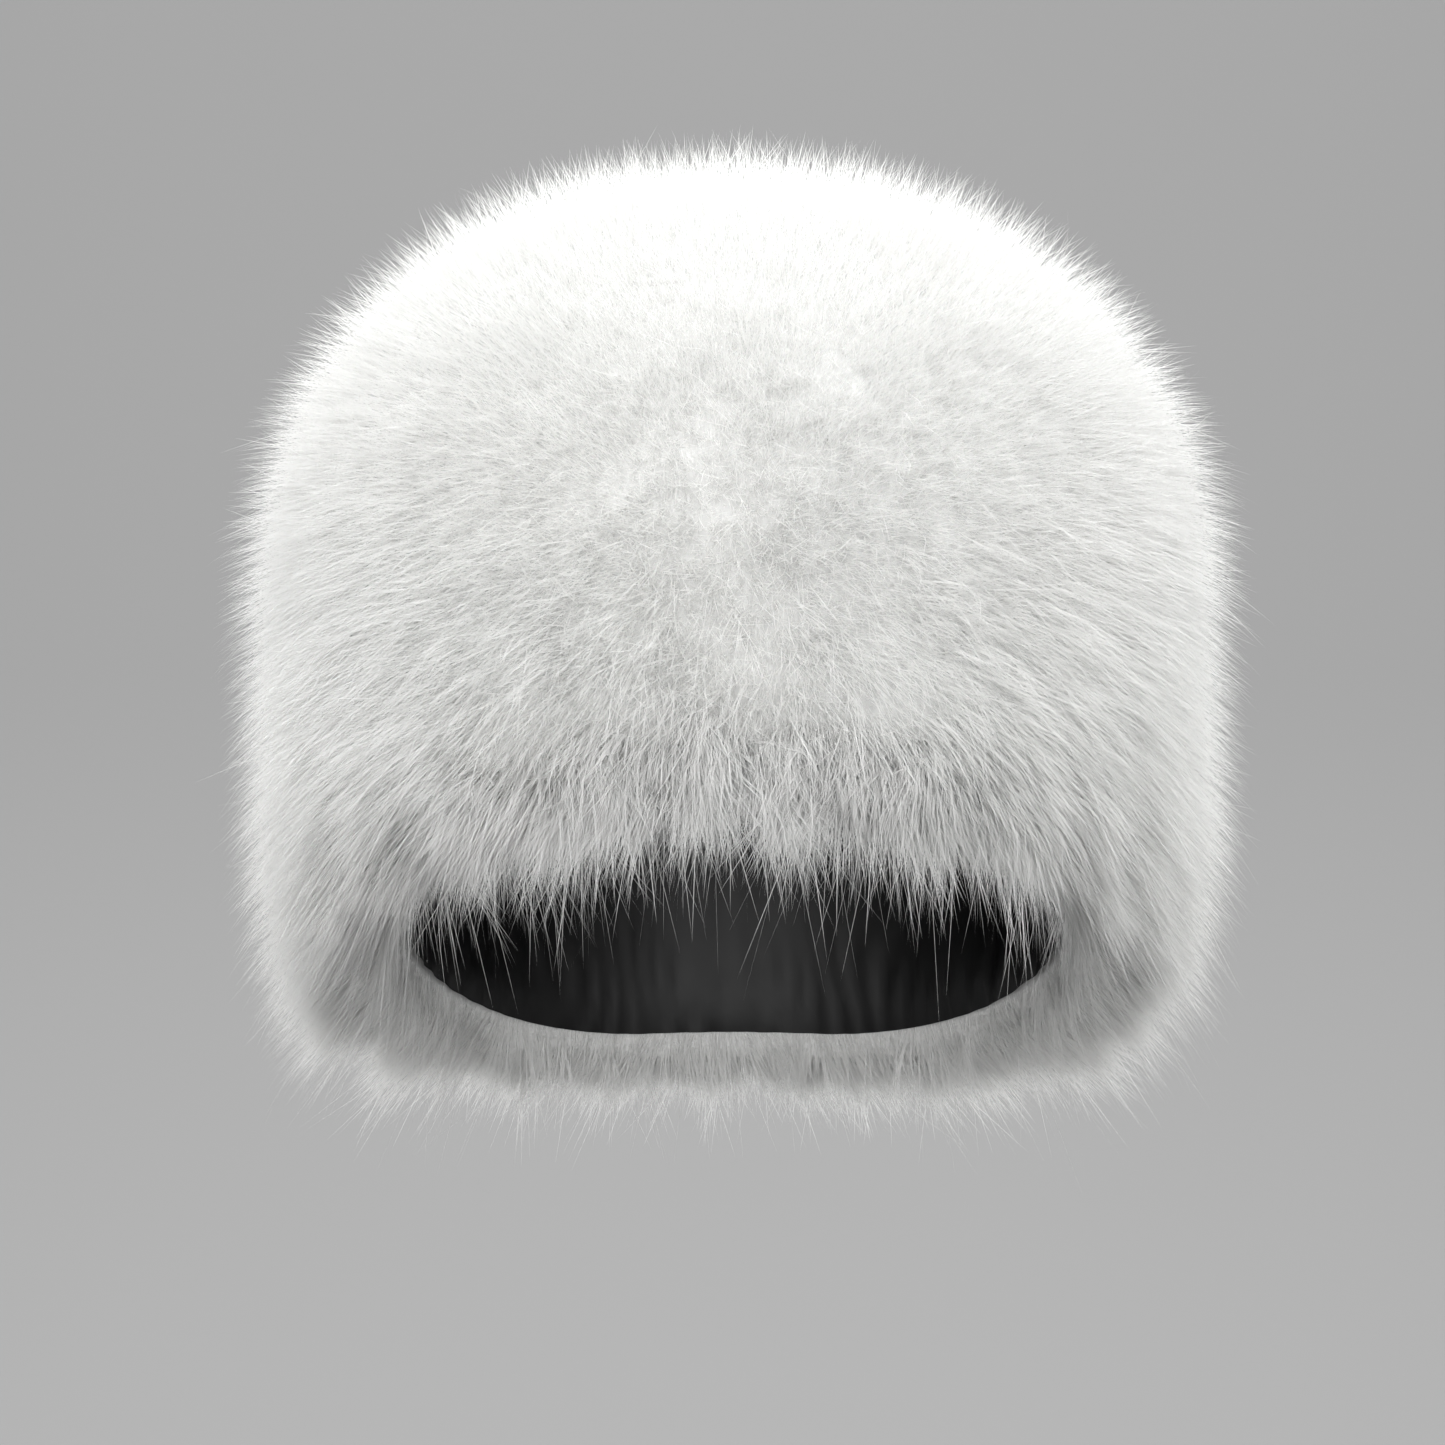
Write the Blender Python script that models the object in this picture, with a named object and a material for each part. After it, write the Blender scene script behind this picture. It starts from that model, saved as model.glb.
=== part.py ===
# A long-pile fur hat whose ear and neck flap is let down round the sides and the back.
# Metres, +Z up. The origin is the inside of the lining's top, where the head meets it, and
# the front of the hat faces -Y.
import math
import random

import bmesh
import bpy
from mathutils import Vector

# The inside of the lining
HEAD_HALF_WIDTH = 0.095
HEAD_HALF_DEPTH = 0.102
CROWN_RISE = 0.083  # from the widest level up to the origin
DOME_POWER = 2.35  # 2 is an ellipse, and more gives squarer shoulders

# The hem of the fur cloth runs in one S-shaped line from the forehead down to the neck
FRONT_HEM = -0.126
BACK_HEM = -0.224
HEM_TURN = math.radians(165)  # azimuth from the front at which the line is down

# Walls, from the inside out
LINING_WALL = 0.0017
WALL_GAP = 0.0008
FUR_CLOTH = 0.003
LINING_SHORT = 0.0045  # how far above the fur cloth's hem the lining ends
SEAM_GAP = 0.0004  # between two panels
SIDE_LENGTH = 0.15  # of the wall from the crown's seam to the hem, on average

# Panels
SEAM_TILT = math.radians(60)  # the crown's seam, as an angle from the top of the dome
FOREHEAD_HALF_COLUMNS = 7
COLUMNS = 48
CROWN_RINGS = COLUMNS // 8
FOREHEAD_ROWS = 8
FLAP_ROWS = 11
LINING_ROWS = 8

# Pile at stations along the wall: 0 is the top, 1 the crown's seam and 2 the hem. Lean is
# how far the hair is combed down from the wall's normal, in degrees.
PILE_STATIONS = (
    # station, length, lean in front, lean at the sides and back
    (0.0, 0.0290, 0, 0),
    (0.6, 0.0300, 6, 8),
    (1.0, 0.0320, 10, 16),
    (1.4, 0.0360, 12, 26),
    (1.7, 0.0360, 20, 32),
    (2.0, 0.0330, 40, 42),
)
COMB_CURL = 0.35  # share of the lean that the hair takes only towards its tip
BACK_BLEND = math.radians(80)  # azimuth at which the lean is wholly that of the sides

# Locks, each on one cell of the wall
LOCK_WAIST = 0.70  # share of the pile's length at which a lock is still broad
WAIST_SPREAD = 0.07
WAIST_INSET = 0.11  # of the cell, on each side
TIP_REACH = 1.05
TIP_SPREAD = 0.09
TIP_WANDER = 0.22  # of the cell
ROOT_WANDER = 0.15
STAGGER = 0.24  # how far each second row is moved along, in cells
HEM_OUTWARD = 0.35  # how much of the pile's outward lean the hem's inmost hair keeps
HEM_LONGER = 0.1  # how much longer that hair hangs
SEED = 11
FRAME_STEP = 0.02  # in stations and radians, between the points that give the wall's normal

WIDEST_LEVEL = -CROWN_RISE
CLOTH_INSIDE = LINING_WALL + WALL_GAP
CLOTH_OUTSIDE = CLOTH_INSIDE + FUR_CLOTH
COLUMN_STEP = math.tau / COLUMNS


def hem_level(azimuth):
    turned = abs(math.remainder(azimuth, math.tau))
    share = min(turned / HEM_TURN, 1)
    return FRONT_HEM + (BACK_HEM - FRONT_HEM) * share * share * (3 - 2 * share)


def wall_radius(azimuth, offset):
    across = math.sin(azimuth) / (HEAD_HALF_WIDTH + offset)
    along = math.cos(azimuth) / (HEAD_HALF_DEPTH + offset)
    return 1 / math.hypot(across, along)


def wall_point(azimuth, station, offset, short=0):
    # The point at this station, this far outside the lining's inner face. The wall ends
    # at station 2, which is the hem less the length in short.
    radius = wall_radius(azimuth, offset)
    rise = CROWN_RISE + offset
    tilt = station * SEAM_TILT
    if station > 1:
        arc = (math.pi / 2 - SEAM_TILT) * wall_radius(azimuth, 0)
        skirt = WIDEST_LEVEL - hem_level(azimuth) - short
        length = (station - 1) * (arc + skirt)
        tilt = SEAM_TILT + (math.pi / 2 - SEAM_TILT) * min(length / arc, 1)
        below = max(length - arc, 0)
    else:
        below = 0
    power = DOME_POWER
    reach = (math.sin(tilt) / radius) ** power + (max(math.cos(tilt), 0) / rise) ** power
    reach = reach ** (-1 / power)
    out = reach * math.sin(tilt)
    level = WIDEST_LEVEL + reach * math.cos(tilt) - below
    return Vector((out * math.sin(azimuth), -out * math.cos(azimuth), level))


def wall_frame(azimuth, station):
    # The outward normal and the direction along the wall towards the hem
    low = max(station - FRAME_STEP, 0)
    off_top = max(station, FRAME_STEP)
    down = wall_point(azimuth, low + 2 * FRAME_STEP, CLOTH_OUTSIDE)
    down -= wall_point(azimuth, low, CLOTH_OUTSIDE)
    side = wall_point(azimuth + FRAME_STEP, off_top, CLOTH_OUTSIDE)
    side -= wall_point(azimuth - FRAME_STEP, off_top, CLOTH_OUTSIDE)
    return down.cross(side).normalized(), down.normalized()


def pile_at(azimuth, station):
    # Length and lean, in straight lines between the stations
    for first, last in zip(PILE_STATIONS, PILE_STATIONS[1:]):
        if station <= last[0]:
            break
    share = min(max((station - first[0]) / (last[0] - first[0]), 0), 1)
    length, front, back = (a + (b - a) * share for a, b in zip(first[1:], last[1:]))
    side = min(abs(math.remainder(azimuth, math.tau)) / BACK_BLEND, 1)
    lean = front + (back - front) * side * side * (3 - 2 * side)
    return length, math.radians(lean)


def pile_point(azimuth, station, share):
    # A point this share of the way along the hair that grows at this place
    root = wall_point(azimuth, station, CLOTH_OUTSIDE)
    normal, down = wall_frame(azimuth, station)
    length, lean = pile_at(azimuth, station)
    lean *= 1 - COMB_CURL * (1 - share)
    return root + length * share * (math.cos(lean) * normal + math.sin(lean) * down)


def hem_point(azimuth, inward, share):
    # The same for hair that grows on the hem's edge: inward is 0 at the cloth's outer
    # face and 1 at its inner face, where the hair hangs almost straight down.
    offset = CLOTH_OUTSIDE - inward * FUR_CLOTH
    root = wall_point(azimuth, 2, offset)
    outer = pile_point(azimuth, 2, share) - wall_point(azimuth, 2, CLOTH_OUTSIDE)
    keep = 1 - (1 - HEM_OUTWARD) * inward
    return root + Vector((outer.x * keep, outer.y * keep, outer.z * (1 + HEM_LONGER * inward)))


def crown_place(u, v):
    # Concentric squares of the grid become rings of the dome
    ring = max(abs(u), abs(v))
    if ring == 0:
        return 0, 0
    if abs(v) >= abs(u):
        azimuth = math.pi / 4 * (u / v)
        azimuth += 0 if v > 0 else math.pi
    else:
        azimuth = math.pi / 2 - math.pi / 4 * (v / u)
        azimuth += 0 if u > 0 else math.pi
    return azimuth, ring / CROWN_RINGS


class Panel:
    # A closed piece of fur cloth on a grid of cells, with a lock of hair on each outer cell
    def __init__(self, name, columns, rows, place):
        self.name, self.columns, self.rows = name, columns, rows
        self.place = place
        self.mesh = bmesh.new()
        self.random = random.Random(SEED + len(name))
        self.spots = {(i, j): self.spot(i, j) for i in range(columns + 1) for j in range(rows + 1)}

    def wander(self, amount):
        return self.random.uniform(-amount, amount)

    def spot(self, i, j):
        # A grid point's place on the grid, moved a little unless it is on the panel's edge
        if i in (0, self.columns) or j in (0, self.rows):
            return i, j
        along = STAGGER / 2 if j % 2 else -STAGGER / 2
        return i + along + self.wander(ROOT_WANDER), j + self.wander(ROOT_WANDER)

    def within(self, i, j, a, b):
        # The place a share a across and b down this cell
        corners = (self.spots[i, j], self.spots[i + 1, j], self.spots[i, j + 1], self.spots[i + 1, j + 1])
        weights = ((1 - a) * (1 - b), a * (1 - b), (1 - a) * b, a * b)
        u = sum(w * c[0] for w, c in zip(weights, corners))
        v = sum(w * c[1] for w, c in zip(weights, corners))
        return self.place(u, v)

    def add_lock(self, roots, grown):
        # Four sides from the roots to the waist, and four more from there to the tip
        share = LOCK_WAIST + self.wander(WAIST_SPREAD)
        near = WAIST_INSET + self.wander(WAIST_INSET / 3)
        far = 1 - near
        corners = ((near, near), (far, near), (far, far), (near, far))
        waist = [self.mesh.verts.new(grown(a, b, share)) for a, b in corners]
        middle = (0.5 + self.wander(TIP_WANDER), 0.5 + self.wander(TIP_WANDER))
        tip = self.mesh.verts.new(grown(*middle, TIP_REACH + self.wander(TIP_SPREAD)))
        for k in range(4):
            n = (k + 1) % 4
            self.mesh.faces.new((roots[k], roots[n], waist[n], waist[k]))
            self.mesh.faces.new((waist[k], waist[n], tip))

    def add_cells(self, outer, inner):
        for i in range(self.columns):
            for j in range(self.rows):
                cell = ((i, j), (i + 1, j), (i + 1, j + 1), (i, j + 1))

                def grown(a, b, share, i=i, j=j):
                    return pile_point(*self.within(i, j, a, b), share)

                self.add_lock([outer[k] for k in cell], grown)
                self.mesh.faces.new([inner[k] for k in reversed(cell)])

    def add_hem(self, outer, inner):
        # Hair on the cloth's lower edge, which hangs under the rim
        j = self.rows
        for i in range(self.columns):
            roots = [outer[i, j], outer[i + 1, j], inner[i + 1, j], inner[i, j]]

            def hanging(a, b, share, i=i):
                return hem_point(self.place(i + a, j)[0], b, share)

            self.add_lock(roots, hanging)

    def build(self, hem):
        columns, rows = self.columns, self.rows
        outer, inner = {}, {}
        for key, spot in self.spots.items():
            outer[key] = self.mesh.verts.new(wall_point(*self.place(*spot), CLOTH_OUTSIDE))
            inner[key] = self.mesh.verts.new(wall_point(*self.place(*key), CLOTH_INSIDE))
        self.add_cells(outer, inner)
        edges = [
            [(i, 0) for i in range(columns + 1)],
            [(columns, j) for j in range(rows + 1)],
            [(0, j) for j in range(rows, -1, -1)],
        ]
        if hem:
            self.add_hem(outer, inner)
        else:
            edges.append([(i, rows) for i in range(columns, -1, -1)])
        for edge in edges:
            for a, b in zip(edge, edge[1:]):
                self.mesh.faces.new((outer[b], outer[a], inner[a], inner[b]))
        return new_piece(self.name, self.mesh)


def new_piece(name, mesh):
    bmesh.ops.recalc_face_normals(mesh, faces=mesh.faces)
    data = bpy.data.meshes.new(name)
    mesh.to_mesh(data)
    mesh.free()
    piece = bpy.data.objects.new(name, data)
    bpy.context.scene.collection.objects.link(piece)
    return piece


def crown_panel():
    pull = 1 - SEAM_GAP / 2 / (SEAM_TILT * HEAD_HALF_WIDTH)
    size = 2 * CROWN_RINGS

    def place(i, j):
        return crown_place((i - CROWN_RINGS) * pull, (CROWN_RINGS - j) * pull)

    return Panel("crown_fur", size, size, place).build(hem=False)


def side_panel(name, first, columns, rows):
    # A panel from the crown's seam to the hem, from this column on
    side_gap = SEAM_GAP / 2 / (HEAD_HALF_WIDTH * COLUMN_STEP)
    top_gap = SEAM_GAP / 2 / SIDE_LENGTH

    def place(i, j):
        column = first + min(max(i, side_gap), columns - side_gap)
        return column * COLUMN_STEP, 1 + max(j / rows, top_gap)

    return Panel(name, columns, rows, place).build(hem=True)


def seam_keys():
    # The grid points round the crown's edge, in order of azimuth
    side = range(-CROWN_RINGS, CROWN_RINGS)
    edge = [(k, CROWN_RINGS) for k in side]
    edge += [(CROWN_RINGS, -k) for k in side]
    edge += [(-k, -CROWN_RINGS) for k in side]
    return edge + [(-CROWN_RINGS, k) for k in side]


def lining_dome():
    # A hollow wall on the same columns as the fur cloth, open below
    mesh = bmesh.new()
    span = range(-CROWN_RINGS, CROWN_RINGS + 1)
    rims = []
    for offset in (LINING_WALL, 0):
        cap = {(u, v): mesh.verts.new(wall_point(*crown_place(u, v), offset)) for u in span for v in span}
        for u in span[:-1]:
            for v in span[:-1]:
                mesh.faces.new((cap[u, v], cap[u + 1, v], cap[u + 1, v + 1], cap[u, v + 1]))
        upper = [cap[key] for key in seam_keys()]
        for row in range(1, LINING_ROWS + 1):
            lower = [
                mesh.verts.new(
                    wall_point(crown_place(*key)[0], 1 + row / LINING_ROWS, offset, LINING_SHORT)
                )
                for key in seam_keys()
            ]
            add_band(mesh, upper, lower)
            upper = lower
        rims.append(upper)
    add_band(mesh, *rims)
    return new_piece("lining", mesh)


def add_band(mesh, upper, lower):
    # Faces between two closed rings of points
    for k in range(COLUMNS):
        n = (k + 1) % COLUMNS
        mesh.faces.new((upper[k], upper[n], lower[n], lower[k]))


def add_material(piece, name, colour, roughness):
    material = bpy.data.materials.new(name)
    material.use_nodes = True
    shader = material.node_tree.nodes["Principled BSDF"]
    shader.inputs["Base Color"].default_value = (*colour, 1)
    shader.inputs["Roughness"].default_value = roughness
    shader.inputs["Metallic"].default_value = 0
    piece.data.materials.append(material)


for old in list(bpy.data.objects):
    bpy.data.objects.remove(old, do_unlink=True)

half = FOREHEAD_HALF_COLUMNS
fur_panels = (
    crown_panel(),
    side_panel("forehead_fur", -half, 2 * half, FOREHEAD_ROWS),
    side_panel("ear_neck_flap_fur", half, COLUMNS - 2 * half, FLAP_ROWS),
)
for panel in fur_panels:
    add_material(panel, "white_fur", (0.80, 0.81, 0.80), 0.9)
add_material(lining_dome(), "black_lining", (0.012, 0.012, 0.014), 0.45)
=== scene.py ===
import math

import bpy
import numpy as np
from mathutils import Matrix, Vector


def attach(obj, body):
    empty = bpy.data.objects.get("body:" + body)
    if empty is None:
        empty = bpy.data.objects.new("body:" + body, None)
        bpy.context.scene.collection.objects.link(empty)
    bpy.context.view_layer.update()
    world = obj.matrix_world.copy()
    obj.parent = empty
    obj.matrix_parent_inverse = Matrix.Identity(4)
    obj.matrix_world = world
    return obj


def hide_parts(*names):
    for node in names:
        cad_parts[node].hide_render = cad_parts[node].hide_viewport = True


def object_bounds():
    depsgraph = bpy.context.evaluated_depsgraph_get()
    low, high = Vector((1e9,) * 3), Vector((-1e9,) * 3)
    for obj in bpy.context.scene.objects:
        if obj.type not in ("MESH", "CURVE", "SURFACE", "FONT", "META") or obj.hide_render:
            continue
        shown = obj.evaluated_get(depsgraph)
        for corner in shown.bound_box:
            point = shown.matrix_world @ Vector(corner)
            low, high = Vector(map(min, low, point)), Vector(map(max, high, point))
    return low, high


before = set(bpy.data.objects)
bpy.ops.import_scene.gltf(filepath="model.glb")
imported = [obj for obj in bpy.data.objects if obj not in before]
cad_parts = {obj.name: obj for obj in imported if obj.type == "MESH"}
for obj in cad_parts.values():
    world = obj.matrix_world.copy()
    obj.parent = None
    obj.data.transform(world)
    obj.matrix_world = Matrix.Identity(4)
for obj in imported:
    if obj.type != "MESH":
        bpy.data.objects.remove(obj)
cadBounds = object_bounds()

# The hat in metres. Its front faces -Y, azimuth 0 is the front and turns towards +X. A station is
# a place down the wall: 0 is the top, 1 the crown's seam and 2 the hem.
hatForm = {
    "halfWidth": 0.095,
    "halfDepth": 0.102,
    "crownRise": 0.083,
    "domePower": 2.35,
    "frontHem": -0.126,
    "backHem": -0.224,
    "hemTurn": math.radians(165),
    "seamTilt": math.radians(60),
    "clothInside": 0.0025,
    "clothOutside": 0.0055,
    "foreheadTurn": math.radians(52.5),
}

# How the pile stands: depth is how far it reaches off the cloth, and lean is how many degrees
# it is combed down, both from the front round to the sides and back.
crownPile = {
    "station": (0.0, 0.6, 0.85, 1.0),
    "depthFront": (0.0290, 0.0298, 0.0308, 0.0316),
    "depthBack": (0.0290, 0.0297, 0.0303, 0.0308),
    "leanFront": (0, 3, 4, 6),
    "leanBack": (0, 4, 9, 15),
}
sidePile = {
    "station": (1.0, 1.12, 1.3, 1.55, 1.75, 1.9, 2.0),
    "depthFront": (0.0318, 0.0328, 0.0345, 0.0350, 0.0330, 0.0285, 0.0250),
    "depthBack": (0.0308, 0.0314, 0.0322, 0.0324, 0.0310, 0.0275, 0.0245),
    "leanFront": (6, 6, 5, 5, 14, 30, 42),
    "leanBack": (15, 20, 27, 34, 38, 41, 43),
}
backBlend = math.radians(80)  # the turn from the front at which the back's values hold


def fromFront(azimuth):
    return np.abs((azimuth + math.pi) % math.tau - math.pi)


def eased(share):
    return share * share * (3 - 2 * share)


def towardsHem(station, begin):
    # 0 up to the station where this begins, and 1 at the hem
    return ((station - begin) / (2 - begin)).clip(0, 1)


def hemLevel(azimuth):
    drop = hatForm["backHem"] - hatForm["frontHem"]
    return hatForm["frontHem"] + drop * eased(np.minimum(fromFront(azimuth) / hatForm["hemTurn"], 1))


def wallRadius(azimuth, offset):
    across = np.sin(azimuth) / (hatForm["halfWidth"] + offset)
    along = np.cos(azimuth) / (hatForm["halfDepth"] + offset)
    return 1 / np.hypot(across, along)


def wallPoint(azimuth, station, offset, short=0.0):
    # Points this far outside the lining's inner face; station 2 is the hem less the length in short
    seamTilt, power = hatForm["seamTilt"], hatForm["domePower"]
    widest = -hatForm["crownRise"]
    arc = (math.pi / 2 - seamTilt) * wallRadius(azimuth, 0)
    skirt = widest - hemLevel(azimuth) - short
    length = np.maximum(station - 1, 0) * (arc + skirt)
    upper = seamTilt + (math.pi / 2 - seamTilt) * np.minimum(length / arc, 1)
    tilt = np.where(station > 1, upper, station * seamTilt)
    below = np.where(station > 1, np.maximum(length - arc, 0), 0)
    rise = hatForm["crownRise"] + offset
    reach = (np.sin(tilt) / wallRadius(azimuth, offset)) ** power
    reach = (reach + (np.maximum(np.cos(tilt), 0) / rise) ** power) ** (-1 / power)
    out = reach * np.sin(tilt)
    level = widest + reach * np.cos(tilt) - below
    return np.stack((out * np.sin(azimuth), -out * np.cos(azimuth), level), axis=-1)


def unit(vectors):
    return vectors / np.maximum(np.linalg.norm(vectors, axis=-1, keepdims=True), 1e-12)


slopeStep = 0.02  # how far to either side of a place its slopes are read, in radians or stations


def wallFrame(azimuth, station):
    # The outward normal, the way down the wall and the way round it
    above = np.maximum(station - slopeStep, 0)
    offTop = np.maximum(station, slopeStep)
    offset = hatForm["clothOutside"]
    down = unit(wallPoint(azimuth, above + 2 * slopeStep, offset) - wallPoint(azimuth, above, offset))
    before = wallPoint(azimuth - slopeStep, offTop, offset)
    normal = unit(np.cross(down, wallPoint(azimuth + slopeStep, offTop, offset) - before))
    return normal, down, np.cross(normal, down)


def combWay(azimuth, station, normal, down):
    # Down the wall, but square to the hem's edge near it, where the hem rises towards the front
    hem = np.full(len(azimuth), 2.0)
    edge = wallPoint(azimuth + slopeStep, hem, 0.0) - wallPoint(azimuth - slopeStep, hem, 0.0)
    square = unit(np.cross(edge, normal))
    square *= np.sign((square * down).sum(1, keepdims=True))
    turned = eased(towardsHem(station, pileStyle["squareFrom"]))[:, None]
    return unit(down + turned * (square - down))


def pileAt(table, azimuth, station):
    # Depth and lean, in straight lines between the stations
    share = eased(np.minimum(fromFront(azimuth) / backBlend, 1))
    values = []
    for key in ("depth", "lean"):
        front = np.interp(station, table["station"], table[key + "Front"])
        back = np.interp(station, table["station"], table[key + "Back"])
        values.append(front + (back - front) * share)
    return values[0], np.radians(values[1])


def waves(points, wavelength, seed, count=14):
    # A smooth random value for each point, about -1.5 to 1.5, that changes over this wavelength
    random = np.random.default_rng(seed)
    directions = unit(random.normal(size=(count, 3))) * random.uniform(0.7, 1.4, (count, 1))
    phases = random.uniform(0, math.tau, count)
    return np.sin(points @ directions.T * (math.tau / wavelength) + phases).sum(1) * math.sqrt(2 / count)


def turnedBack(values, low, high):
    # Values that fall outside the range are mirrored back into it
    values = low + np.abs(values - low)
    return high - np.abs(high - values)


# How places are spread evenly
evenly = {
    "honeycomb": 0.87,  # the spacing squared that each place has, as in a honeycomb
    "steps": (0.7548776662, 0.5698402910),  # from the plastic number, they fill a rectangle evenly
    "rows": 61,  # of the grid on which the wall is measured, and how many turns it has
    "turns": 181,
    "stray": 0.3,  # how far a place then strays, in spacings
    "hemStray": 0.1,  # the same across the hem's edge, in edges
    "wallRadius": 0.1,  # the wall's radius, roughly, which turns that into an angle
    "domeTilt": 1.3,  # how it shrinks towards the top, and to which share of it at the least
    "leastShare": 0.1,
}


def evenPlaces(azimuths, stations, spacing, random):
    # Places about this far apart, all over one part of the wall: a spiral like a sunflower's
    # seeds on the crown, and below it a sequence that fills a rectangle evenly
    turns, rows = np.meshgrid(
        np.linspace(*azimuths, evenly["turns"]), np.linspace(*stations, evenly["rows"])
    )
    here = wallPoint(turns, rows, hatForm["clothOutside"])
    across = np.linalg.norm(np.diff(here, axis=1), axis=2)[1:]
    downward = np.linalg.norm(np.diff(here, axis=0), axis=2)[:, 1:]
    area = across * downward
    count = int(area.sum() / spacing**2 / evenly["honeycomb"])
    steps = np.arange(count) + 0.5
    rowShare = np.append(0, np.cumsum(area.sum(1))) / area.sum()
    turnShare = np.append(0, np.cumsum(area.sum(0))) / area.sum()
    if stations[0] == 0:
        azimuth = steps * math.pi * (3 - math.sqrt(5)) % math.tau - math.pi
        station = np.interp(steps / count, rowShare, rows[:, 0])
    else:
        azimuth = np.interp(steps * evenly["steps"][0] % 1, turnShare, turns[0])
        station = np.interp(steps * evenly["steps"][1] % 1, rowShare, rows[:, 0])
    jitter = evenly["stray"] * spacing * random.normal(size=(2, count))
    shrunk = np.maximum(np.sin(station.clip(0, 1) * evenly["domeTilt"]), evenly["leastShare"])
    azimuth = azimuth + jitter[0] / (evenly["wallRadius"] * shrunk)
    station = station + jitter[1] / downward.sum(0).mean() * (stations[1] - stations[0])
    if stations[0] > 0:
        azimuth = turnedBack(azimuth, *azimuths)
    return azimuth, turnedBack(station, *stations)


def srgb(code):
    channels = [int(code[k : k + 2], 16) / 255 for k in (1, 3, 5)]
    linear = [c / 12.92 if c <= 0.04045 else ((c + 0.055) / 1.055) ** 2.4 for c in channels]
    return (*linear, 1)


def addNode(tree, kind, settings=None, links=None):
    # Settings go to the node's own property, or else to the input of that name
    node = tree.nodes.new(kind)
    for key, value in (settings or {}).items():
        if isinstance(key, str) and hasattr(node, key):
            setattr(node, key, value)
        else:
            node.inputs[key].default_value = value
    for key, source in (links or {}).items():
        tree.links.new(source, node.inputs[key])
    return node


def newMaterial(name):
    material = bpy.data.materials.new(name)
    material.use_nodes = True
    material.node_tree.nodes.clear()
    return material


# Staple modacrylic pile, combed and polished: white, soft and hardly glossy, and light passes
# through each hair, so that the depth of the pile glows instead of going dark. The darker colour
# is painted shade, near the roots where the pile is deep and over the forehead's fringe; it shows most in the
# thin fringe.
hairFinish = {"paintedShade": "#d4d4d3", "tips": "#fcfcfb", "roughness": 0.6, "gloss": 0.15, "through": 0.5}


def modacrylicHair():
    material = newMaterial("combedModacrylicHair")
    tree = material.node_tree
    # How white each hair is: its own random tone, with painted shade near the roots and over the fringe
    shade = addNode(tree, "ShaderNodeAttribute", {"attribute_name": "toneAndPaintedShade"})
    ramp = addNode(tree, "ShaderNodeValToRGB", {}, {"Fac": shade.outputs["Fac"]})
    ramp.color_ramp.elements[0].color = srgb(hairFinish["paintedShade"])
    ramp.color_ramp.elements[1].color = srgb(hairFinish["tips"])
    face = addNode(
        tree,
        "ShaderNodeBsdfPrincipled",
        {"Roughness": hairFinish["roughness"], "Specular IOR Level": hairFinish["gloss"]},
        {"Base Color": ramp.outputs["Color"]},
    )
    through = addNode(tree, "ShaderNodeBsdfTranslucent", {}, {"Color": ramp.outputs["Color"]})
    both = addNode(tree, "ShaderNodeMixShader", {"Fac": hairFinish["through"]})
    tree.links.new(face.outputs[0], both.inputs[1])
    tree.links.new(through.outputs[0], both.inputs[2])
    addNode(tree, "ShaderNodeOutputMaterial", {}, {"Surface": both.outputs[0]})
    return material


# The dense crimped underwool below the guard hairs: matt, white, in fine upright strands, drawn
# about 1 mm wide, which is coarser than real ones, so that they show. Both its colours are greyer
# than the hair's, painted shade for the pile's depth, and the darker one is painted shade in the grooves
# between strands
woolFinish = {
    "paintedGrooveShade": "#cfcfce",
    "tips": "#dcdcdb",
    "strand": 0.0011,
    "stretch": 0.35,
    "rampFrom": 0.35,
    "rampTo": 0.6,
    "relief": 0.0006,
    "roughness": 0.9,
    "gloss": 0.05,
}


def modacrylicWool():
    material = newMaterial("crimpedModacrylicWool")
    tree = material.node_tree
    place = addNode(tree, "ShaderNodeTexCoord")
    scale = (1, 1, woolFinish["stretch"])
    stretched = addNode(tree, "ShaderNodeMapping", {"Scale": scale}, {"Vector": place.outputs["Object"]})
    strands = addNode(
        tree,
        "ShaderNodeTexNoise",
        {"Scale": 1 / woolFinish["strand"] / 2, "Detail": 3, "Roughness": 0.6, "Distortion": 0.6},
        {"Vector": stretched.outputs[0]},
    )
    # Painted shade: the grooves between strands darker, and the whole wool greyer than the hair
    ramp = addNode(tree, "ShaderNodeValToRGB", {}, {"Fac": strands.outputs["Fac"]})
    ramp.color_ramp.elements[0].position = woolFinish["rampFrom"]
    ramp.color_ramp.elements[1].position = woolFinish["rampTo"]
    ramp.color_ramp.elements[0].color = srgb(woolFinish["paintedGrooveShade"])
    ramp.color_ramp.elements[1].color = srgb(woolFinish["tips"])
    bump = addNode(
        tree,
        "ShaderNodeBump",
        {"Distance": woolFinish["relief"], "Strength": 0.8},
        {"Height": strands.outputs["Fac"]},
    )
    wool = addNode(
        tree,
        "ShaderNodeBsdfPrincipled",
        {"Roughness": woolFinish["roughness"], "Specular IOR Level": woolFinish["gloss"]},
        {"Base Color": ramp.outputs["Color"], "Normal": bump.outputs["Normal"]},
    )
    addNode(tree, "ShaderNodeOutputMaterial", {}, {"Surface": wool.outputs[0]})
    return material


hairMaterial = modacrylicHair()
woolMaterial = modacrylicWool()


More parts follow.
